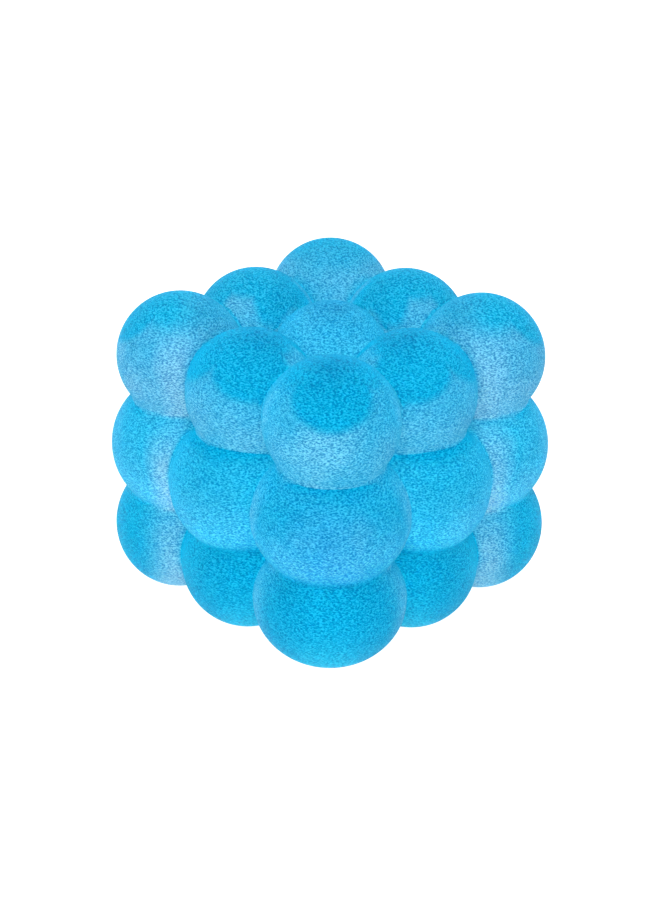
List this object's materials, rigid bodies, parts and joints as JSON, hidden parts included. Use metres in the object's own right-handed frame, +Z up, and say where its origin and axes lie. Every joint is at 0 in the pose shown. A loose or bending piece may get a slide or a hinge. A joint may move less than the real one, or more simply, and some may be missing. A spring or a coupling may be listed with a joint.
{
  "type": "stress ball",
  "caption": "Soft translucent squeeze toy shaped as a block of round bubble lobes: a pebble-grained one-piece skin filled with gel through a plugged port underneath.",
  "frame": {"origin": "on the resting plane, under the middle of the block", "axes": "+Z up through the middle of the block, +X and +Y square to its sides; the block is the same seen from all four sides"},
  "size_m": [0.0636, 0.0636, 0.0514],
  "materials": {
    "skin_elastomer": "satin",
    "gel": "gloss",
    "plug_elastomer": "satin",
    "adhesive": "gloss"
  },
  "bodies": {
    "root": {"skin": "skin_elastomer", "gel_filling": "gel", "fill_plug": "plug_elastomer", "glue_ring": "adhesive"}
  },
  "joints": []
}
